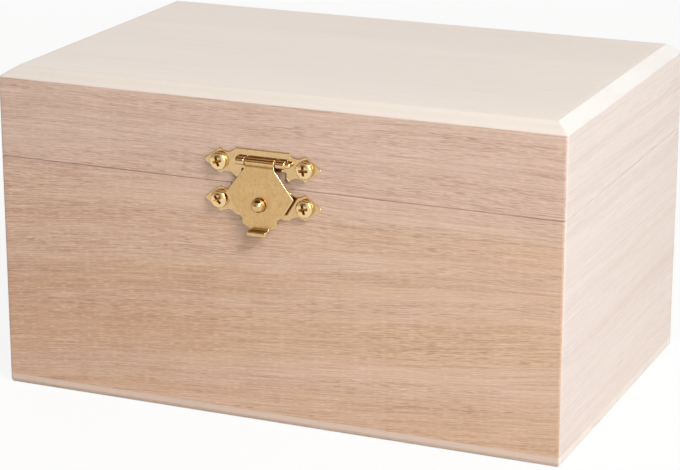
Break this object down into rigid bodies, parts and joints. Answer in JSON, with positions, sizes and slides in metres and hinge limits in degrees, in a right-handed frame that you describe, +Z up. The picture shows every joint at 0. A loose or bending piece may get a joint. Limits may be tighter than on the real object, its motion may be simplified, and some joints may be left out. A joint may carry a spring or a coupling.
{
  "type": "wooden keepsake box",
  "caption": "Rectangular wooden keepsake box with a bevelled lid hinged at the back and a brass hasp that swings down over a ball stud to hold it shut.",
  "frame": {"origin": "middle of the wooden box's underside, where it stands on a table", "axes": "+Z up, -Y out of the front face with the clasp, +X to the right along the width"},
  "size_m": [0.15, 0.1037, 0.084],
  "materials": {
    "carcass_wood": "bare sanded softwood, straight fine grain",
    "panel_plywood": "bare sanded pale plywood",
    "clasp_brass": "satin brass-plated sheet",
    "pin_brass": "polished brass",
    "screw_brass": "yellow brass-plated screw",
    "hinge_brass": "satin brass-plated sheet"
  },
  "bodies": {
    "base": {"base_front": "carcass_wood", "base_back": "carcass_wood", "base_left": "carcass_wood", "base_right": "carcass_wood", "bottom_panel": "panel_plywood", "clasp_base_plate": "clasp_brass", "clasp_stud": "pin_brass", "clasp_base_screws": "screw_brass", "hinge_left_base_leaf": "hinge_brass", "hinge_left_pin": "pin_brass", "hinge_right_base_leaf": "hinge_brass", "hinge_right_pin": "pin_brass", "hinge_base_screws": "screw_brass"},
    "lid": {"lid_front": "carcass_wood", "lid_back": "carcass_wood", "lid_left": "carcass_wood", "lid_right": "carcass_wood", "lid_panel": "panel_plywood", "clasp_lid_plate": "clasp_brass", "clasp_pin": "pin_brass", "clasp_lid_screws": "screw_brass", "hinge_left_lid_leaf": "hinge_brass", "hinge_right_lid_leaf": "hinge_brass", "hinge_lid_screws": "screw_brass"},
    "hasp": {"clasp_hasp": "clasp_brass"}
  },
  "joints": [
    {"name": "lid_hinge", "type": "hinge", "parent": "base", "child": "lid", "pos_m": [0, 0.04965, 0.061], "axis": [-1, 0, 0], "range_deg": [0, 180]},
    {"name": "hasp_hinge", "type": "hinge", "parent": "lid", "child": "hasp", "pos_m": [-0.00185, -0.0493, 0.0672], "axis": [-1, 0, 0], "range_deg": [0, 140]}
  ]
}
